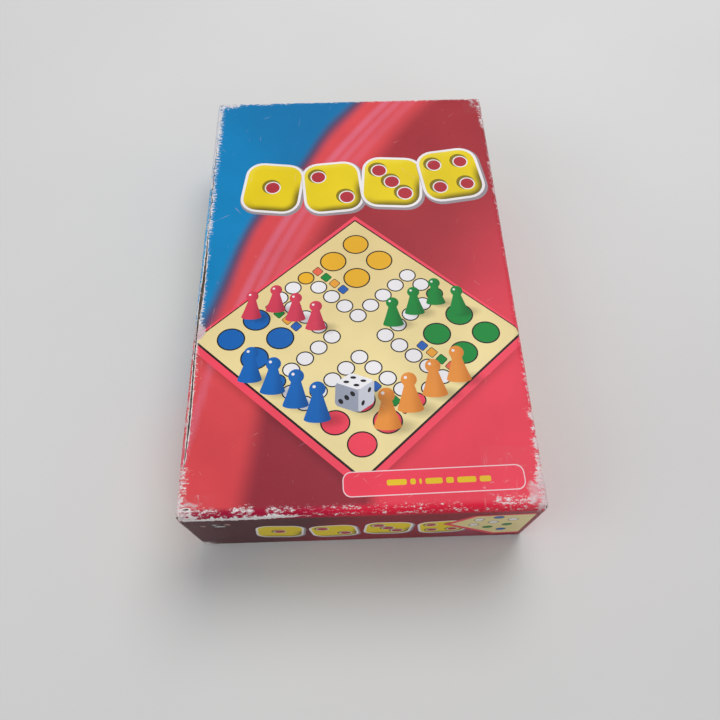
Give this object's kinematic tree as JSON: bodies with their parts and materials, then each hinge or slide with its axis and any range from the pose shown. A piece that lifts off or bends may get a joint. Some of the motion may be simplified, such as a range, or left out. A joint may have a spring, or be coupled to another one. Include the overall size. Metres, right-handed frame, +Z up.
{
  "type": "folding ludo board box",
  "caption": "Worn two-part cardboard game box with a lift-off lid, card insert, folding cross-track board, pawns, die and leaflet.",
  "frame": {"origin": "on the table, under the middle of the closed box", "axes": "+X to the right across the short front wall, -Y out of the front wall, +Z up out of the lid"},
  "size_m": [0.1754, 0.2764, 0.0602],
  "materials": {
    "printed_wrap": "satin",
    "plain_wrap": "satin",
    "greyboard": "matte",
    "kraft_tape": "matte",
    "clear_tape": "gloss",
    "white_card": "matte",
    "board_print": "satin",
    "hinge_cloth": "matte",
    "leaflet_paper": "matte",
    "die_plastic": "gloss",
    "pawn_yellow": "gloss",
    "pawn_blue": "gloss",
    "pawn_green": "gloss",
    "pawn_red": "gloss"
  },
  "bodies": {
    "base": {"base_board": "greyboard", "base_wrap": "plain_wrap", "base_corner_stay_front_left": "kraft_tape", "base_corner_stay_front_right": "kraft_tape", "base_corner_stay_back_left": "kraft_tape", "base_corner_stay_back_right": "kraft_tape", "card_insert": "white_card"},
    "lid": {"lid_board": "greyboard", "lid_wrap": "printed_wrap", "lid_corner_stay_front_left": "kraft_tape", "lid_corner_stay_front_right": "kraft_tape", "lid_corner_stay_back_left": "kraft_tape", "lid_corner_stay_back_right": "kraft_tape", "tape_front_left_corner": "clear_tape", "tape_front_right_corner": "clear_tape", "tape_back_right_corner": "clear_tape", "tape_left_edge": "clear_tape"},
    "board_lower": {"board_leaf_lower": "greyboard", "board_print_lower": "board_print", "hinge_cloth_lower": "hinge_cloth"},
    "board_upper": {"board_leaf_upper": "greyboard", "board_print_upper": "board_print", "hinge_cloth_upper": "hinge_cloth"},
    "leaflet": {"rules_leaflet": "leaflet_paper"},
    "die": {"die": "die_plastic"},
    "pawn_yellow_1": {"pawn_yellow_1": "pawn_yellow"},
    "pawn_yellow_2": {"pawn_yellow_2": "pawn_yellow"},
    "pawn_yellow_3": {"pawn_yellow_3": "pawn_yellow"},
    "pawn_yellow_4": {"pawn_yellow_4": "pawn_yellow"},
    "pawn_blue_1": {"pawn_blue_1": "pawn_blue"},
    "pawn_blue_2": {"pawn_blue_2": "pawn_blue"},
    "pawn_blue_3": {"pawn_blue_3": "pawn_blue"},
    "pawn_blue_4": {"pawn_blue_4": "pawn_blue"},
    "pawn_green_1": {"pawn_green_1": "pawn_green"},
    "pawn_green_2": {"pawn_green_2": "pawn_green"},
    "pawn_green_3": {"pawn_green_3": "pawn_green"},
    "pawn_green_4": {"pawn_green_4": "pawn_green"},
    "pawn_red_1": {"pawn_red_1": "pawn_red"},
    "pawn_red_2": {"pawn_red_2": "pawn_red"},
    "pawn_red_3": {"pawn_red_3": "pawn_red"},
    "pawn_red_4": {"pawn_red_4": "pawn_red"}
  },
  "joints": [
    {"name": "lid_lift", "type": "slide", "parent": "base", "child": "lid", "axis": [0, 0, 1], "range_m": [0, 0.44]},
    {"name": "board_lift", "type": "slide", "parent": "base", "child": "board_lower", "axis": [0, 0, 1], "range_m": [0, 0.071]},
    {"name": "board_unfold", "type": "hinge", "parent": "board_lower", "child": "board_upper", "pos_m": [-0.0501, 0, 0.0455], "axis": [0, -1, 0], "range_deg": [0, 180]},
    {"name": "leaflet_lift", "type": "slide", "parent": "base", "child": "leaflet", "axis": [0, 0, 1], "range_m": [0, 0.04]},
    {"name": "pawn_yellow_1_lift", "type": "slide", "parent": "base", "child": "pawn_yellow_1", "axis": [0, 0, 1], "range_m": [0, 0.062]},
    {"name": "pawn_yellow_2_lift", "type": "slide", "parent": "base", "child": "pawn_yellow_2", "axis": [0, 0, 1], "range_m": [0, 0.062]},
    {"name": "pawn_yellow_3_lift", "type": "slide", "parent": "base", "child": "pawn_yellow_3", "axis": [0, 0, 1], "range_m": [0, 0.062]},
    {"name": "pawn_yellow_4_lift", "type": "slide", "parent": "base", "child": "pawn_yellow_4", "axis": [0, 0, 1], "range_m": [0, 0.062]},
    {"name": "pawn_blue_1_lift", "type": "slide", "parent": "base", "child": "pawn_blue_1", "axis": [0, 0, 1], "range_m": [0, 0.062]},
    {"name": "pawn_blue_2_lift", "type": "slide", "parent": "base", "child": "pawn_blue_2", "axis": [0, 0, 1], "range_m": [0, 0.062]},
    {"name": "pawn_blue_3_lift", "type": "slide", "parent": "base", "child": "pawn_blue_3", "axis": [0, 0, 1], "range_m": [0, 0.062]},
    {"name": "pawn_blue_4_lift", "type": "slide", "parent": "base", "child": "pawn_blue_4", "axis": [0, 0, 1], "range_m": [0, 0.062]},
    {"name": "pawn_green_1_lift", "type": "slide", "parent": "base", "child": "pawn_green_1", "axis": [0, 0, 1], "range_m": [0, 0.062]},
    {"name": "pawn_green_2_lift", "type": "slide", "parent": "base", "child": "pawn_green_2", "axis": [0, 0, 1], "range_m": [0, 0.062]},
    {"name": "pawn_green_3_lift", "type": "slide", "parent": "base", "child": "pawn_green_3", "axis": [0, 0, 1], "range_m": [0, 0.062]},
    {"name": "pawn_green_4_lift", "type": "slide", "parent": "base", "child": "pawn_green_4", "axis": [0, 0, 1], "range_m": [0, 0.062]},
    {"name": "pawn_red_1_lift", "type": "slide", "parent": "base", "child": "pawn_red_1", "axis": [0, 0, 1], "range_m": [0, 0.062]},
    {"name": "pawn_red_2_lift", "type": "slide", "parent": "base", "child": "pawn_red_2", "axis": [0, 0, 1], "range_m": [0, 0.062]},
    {"name": "pawn_red_3_lift", "type": "slide", "parent": "base", "child": "pawn_red_3", "axis": [0, 0, 1], "range_m": [0, 0.062]},
    {"name": "pawn_red_4_lift", "type": "slide", "parent": "base", "child": "pawn_red_4", "axis": [0, 0, 1], "range_m": [0, 0.062]},
    {"name": "die_lift", "type": "slide", "parent": "base", "child": "die", "axis": [0, 0, 1], "range_m": [0, 0.062]}
  ],
  "couplings": [
    {"joint": "board_lift", "follows": "lid_lift", "ratio": 0.16},
    {"joint": "board_unfold", "follows": "lid_lift", "rad_per_m": 7.14},
    {"joint": "leaflet_lift", "follows": "lid_lift", "ratio": 0.09},
    {"joint": "pawn_yellow_1_lift", "follows": "lid_lift", "ratio": 0.14},
    {"joint": "pawn_yellow_2_lift", "follows": "lid_lift", "ratio": 0.14},
    {"joint": "pawn_yellow_3_lift", "follows": "lid_lift", "ratio": 0.14},
    {"joint": "pawn_yellow_4_lift", "follows": "lid_lift", "ratio": 0.14},
    {"joint": "pawn_blue_1_lift", "follows": "lid_lift", "ratio": 0.14},
    {"joint": "pawn_blue_2_lift", "follows": "lid_lift", "ratio": 0.14},
    {"joint": "pawn_blue_3_lift", "follows": "lid_lift", "ratio": 0.14},
    {"joint": "pawn_blue_4_lift", "follows": "lid_lift", "ratio": 0.14},
    {"joint": "pawn_green_1_lift", "follows": "lid_lift", "ratio": 0.14},
    {"joint": "pawn_green_2_lift", "follows": "lid_lift", "ratio": 0.14},
    {"joint": "pawn_green_3_lift", "follows": "lid_lift", "ratio": 0.14},
    {"joint": "pawn_green_4_lift", "follows": "lid_lift", "ratio": 0.14},
    {"joint": "pawn_red_1_lift", "follows": "lid_lift", "ratio": 0.14},
    {"joint": "pawn_red_2_lift", "follows": "lid_lift", "ratio": 0.14},
    {"joint": "pawn_red_3_lift", "follows": "lid_lift", "ratio": 0.14},
    {"joint": "pawn_red_4_lift", "follows": "lid_lift", "ratio": 0.14},
    {"joint": "die_lift", "follows": "lid_lift", "ratio": 0.14}
  ]
}
